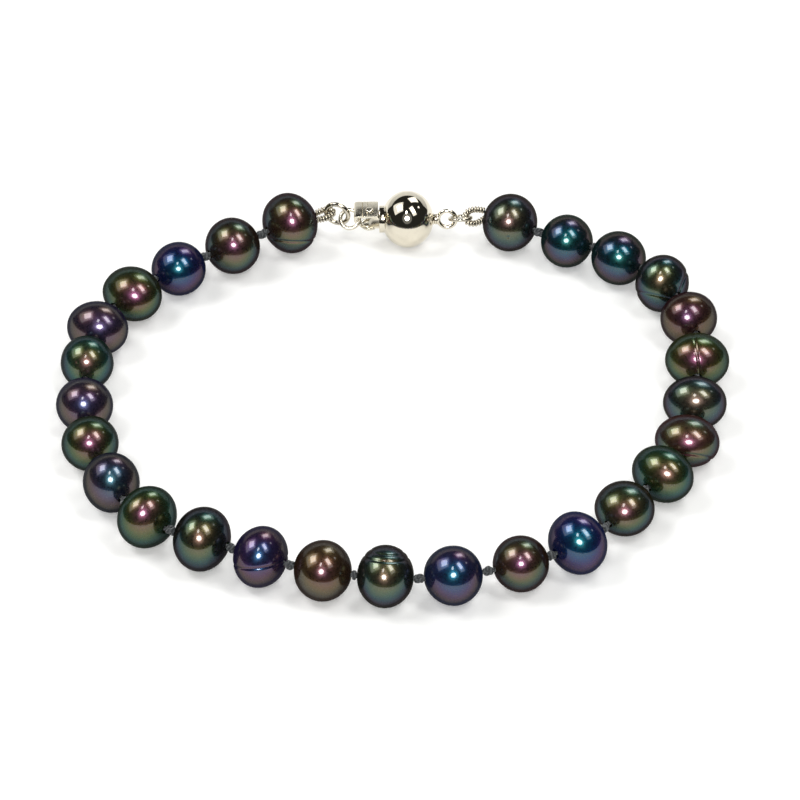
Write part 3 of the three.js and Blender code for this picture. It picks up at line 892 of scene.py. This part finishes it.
def makeTongue():
    make = tongueMake
    half = make["sheet"] / 2
    start = -(ballMake["length"] / 2 + ballMake["collarLength"]) - make["collarGap"]
    end = start - make["plateLength"]
    level = make["plateTop"] - half
    leaf = make["leafHeight"]
    fold = make["bladeReach"] - ballMake["length"] / 2
    curl = make["plateCurl"]
    crease = end + make["creaseAt"]
    panMiddle = start - make["pan"] / 2
    panEnd = start - make["pan"]
    wireAt = panEnd - make["barReach"]
    blade = foldedSheet("blade", flatCurve([
        (start - make["plateLength"] * 0.4, level - half),
        (start - half - (level - leaf) * 0.5, (level + leaf) / 2), (start - half, leaf),
        (fold - leaf, leaf * 0.6), (fold, 0), (fold - leaf, -leaf * 0.6),
        (start - half, -leaf), (panMiddle, -make["panDrop"] - make["panDepth"] / 2)], 5),
        make["bladeWidth"])
    plate = foldedSheet("plate", [
        (start, level), (start - 0.12, level), (crease + 0.62, level),
        (crease + 0.54, level - 0.05), (crease + 0.46, level), (crease + 0.1, level),
        (crease + 0.04, level - 0.07), (crease - 0.04, level - 0.07), (crease - 0.1, level),
        *flatCurve([(end + curl, level), (end + curl * 0.42, level - curl * 0.16),
                    (end + half, level - curl * 0.62), (end + curl * 0.3, level - curl * 1.15),
                    (end + curl * 0.6, level - curl * 1.6)], 5)],
        make["plateWidth"], cornerRadius=0.25, crown=make["plateCrown"])
    x = start - make["plateLength"] * 0.36
    top = make["studHeight"] + half
    dome = [(-0.02, 0), (-0.02, make["stud"] / 2)]
    dome += [(top * math.sin(t) * 0.98, make["stud"] / 2 * (0.55 + 0.45 * math.cos(t)))
             for t in np.linspace(0, math.pi / 2, 8)]
    dome += [(top, 0)]
    stud = turnedShape("stud", dome, 40, closed=False)
    stud.data.transform(Matrix.Rotation(-math.pi / 2, 4, "Y"))
    stud.data.transform(Matrix.Translation(Vector((x, -make["plateWidth"] * 0.12, level)) * mm))
    smooth(stud, 50)
    radius, depth, sheet = make["pan"] / 2, make["panDepth"], make["sheet"]
    bowl = [(-depth, 0), (-depth, radius * 0.72), (-depth * 0.82, radius * 0.9),
            (-depth * 0.4, radius), (-0.06, radius), (-0.01, radius - 0.04), (0, radius - 0.09),
            (0, radius - sheet + 0.08), (-0.02, radius - sheet + 0.02),
            (-depth * 0.3, radius - sheet * 1.3), (-depth * 0.45, radius - sheet * 1.9),
            (-depth * 0.4, radius * 0.3), (-depth * 0.38, 0)]
    pan = turnedShape("pan", bowl, 56, closed=False)
    pan.data.transform(Matrix.Rotation(-math.pi / 2, 4, "Y"))
    pan.data.transform(Matrix.Translation(Vector((panMiddle, 0, -make["panDrop"])) * mm))
    smooth(pan, 50)
    floor = -make["panDrop"] - depth * 0.6
    bar = foldedSheet("bar", flatCurve([
        (panMiddle, floor), (panEnd + sheet, floor), ((panEnd + wireAt) / 2, floor / 2),
        (wireAt - sheet / 4, 0)], 5), make["barWidth"])
    ringRadius = (make["ring"] - make["ringWire"]) / 2
    roll = math.radians(-make["ringRoll"])
    ring = wireRing("tongueRing", (wireAt - ringRadius, 0, 0), (1, 0, 0),
                    (0, -math.sin(roll), math.cos(roll)), ringRadius, make["ringWire"] / 2,
                    slit=False)
    tongue = atClasp(joinPieces("claspTongue", [plate, blade, stud, pan, bar, ring]))
    finishMetal(tongue, "clasp_tongue", stampedSilver)


makeTongue()
print("tongue made")

# Studio, in metres: a pale floor, a low pale wall behind it, dark room above, and soft boxes
studio = {
    "floor": "#e6e6e4",
    "floorGlow": 0.22,
    "radius": 2.4,
    "wall": "#cfcfcd",
    "wallGlow": 0.4,
    "wallHeight": 0.66,
    "wallAt": 1.1,
    "wallWidth": 3.4,
    "surroundHeight": 3,
    "room": "#2b2b29",
}
# Each light: the way to it from the bracelet, the way its long side runs, its long and short
# side as shares of its distance, and how bright it is beside the white floor. The cores are the
# hot middles of the boxes.
softBoxes = {
    "leftBox": {"towards": (-0.636, 0.085, 0.767), "along": (0.1, 1.0, 0.0),
                "long": 0.76, "short": 0.75, "power": 1.2},
    "leftCore": {"towards": (-0.564, 0.071, 0.822), "along": (0.1, 1.0, 0.0),
                 "long": 0.42, "short": 0.36, "power": 6.5},
    "backBox": {"towards": (0.320, 0.610, 0.725), "along": (0.39, 0.2, -0.32),
                "long": 0.54, "short": 0.42, "power": 1.6},
    "backCore": {"towards": (0.300, 0.600, 0.740), "along": (0.39, 0.2, -0.32),
                 "long": 0.34, "short": 0.22, "power": 6.0},
    "rightBox": {"towards": (0.430, -0.240, 0.870), "along": (0.39, -0.48, -0.42),
                 "long": 0.70, "short": 0.34, "power": 1.4},
    "rightCore": {"towards": (0.400, -0.190, 0.890), "along": (0.39, -0.48, -0.42),
                  "long": 0.42, "short": 0.22, "power": 7.0},
    "smallBox": {"towards": (0.714, 0.208, 0.668), "along": (0.0, 1.0, 0.0),
                 "long": 0.12, "short": 0.12, "power": 3.0, "round": True},
    "frontLamp": {"towards": (-0.03, -0.757, 0.649), "along": (1.0, 0.0, 0.0),
                  "long": 0.36, "short": 0.32, "power": 16.0, "round": True},
    "frontHalo": {"towards": (-0.03, -0.757, 0.649), "along": (1.0, 0.0, 0.0),
                  "long": 0.85, "short": 0.85, "power": 0.2, "round": True},
    "upperLamp": {"towards": (-0.09, -0.41, 0.90), "along": (0.3, 1.0, 0.0),
                  "long": 0.24, "short": 0.13, "power": 9.0, "round": True},
}
lightDistance = 1.1


def glowingSurface(name, colour, glow):
    material, shader = newMaterial(name)
    setSockets(shader, Base_Color=linearColour(colour), Roughness=0.9,
               Emission_Color=(1, 1, 1, 1), Emission_Strength=glow)
    return material


def makeStudio():
    deselectAll()
    bpy.ops.mesh.primitive_circle_add(vertices=96, radius=studio["radius"], fill_type="NGON")
    floor = bpy.context.object
    floor.name = "studioFloor"
    floor.data.materials.append(glowingSurface("paleFloor", studio["floor"],
                                               studio["floorGlow"]))
    deselectAll()
    bpy.ops.mesh.primitive_plane_add(size=1, location=(0, studio["wallAt"],
                                                       studio["wallHeight"] / 2),
                                     rotation=(math.pi / 2, 0, 0))
    wall = bpy.context.object
    wall.name = "studioWall"
    wall.scale = (studio["wallWidth"], studio["wallHeight"], 1)
    wall.data.materials.append(glowingSurface("paleWall", studio["wall"], studio["wallGlow"]))
    deselectAll()
    height = studio["surroundHeight"]
    bpy.ops.mesh.primitive_cylinder_add(vertices=96, radius=studio["radius"], depth=height,
                                        end_fill_type="NOTHING", location=(0, 0, height / 2))
    surround = bpy.context.object
    surround.name = "studioSurround"
    surround.data.materials.append(glowingSurface("paleSurround", studio["floor"], 1.0))
    surround.visible_glossy = False
    surround.visible_diffuse = False
    surround.visible_shadow = False
    world = bpy.data.worlds.new("darkRoom")
    world.use_nodes = True
    world.node_tree.nodes["Background"].inputs[0].default_value = linearColour(studio["room"])
    bpy.context.scene.world = world


def addSoftBox(name, box):
    towards = Vector(box["towards"]).normalized()
    light = bpy.data.lights.new(name, "AREA")
    light.shape = "ELLIPSE" if box.get("round") else "RECTANGLE"
    light.size = lightDistance * box["short"]
    light.size_y = lightDistance * box["long"]
    area = light.size * light.size_y * (math.pi / 4 if box.get("round") else 1)
    light.energy = box["power"] * math.pi * area
    long = Vector(box["along"])
    long = (long - towards * long.dot(towards)).normalized()
    short = long.cross(towards)
    holder = bpy.data.objects.new(name, light)
    holder.matrix_world = Matrix([[short[k], long[k], towards[k], towards[k] * lightDistance]
                                  for k in range(3)] + [[0, 0, 0, 1]])
    bpy.context.scene.collection.objects.link(holder)


makeStudio()
for name, box in softBoxes.items():
    addSoftBox(name, box)
print("studio set")
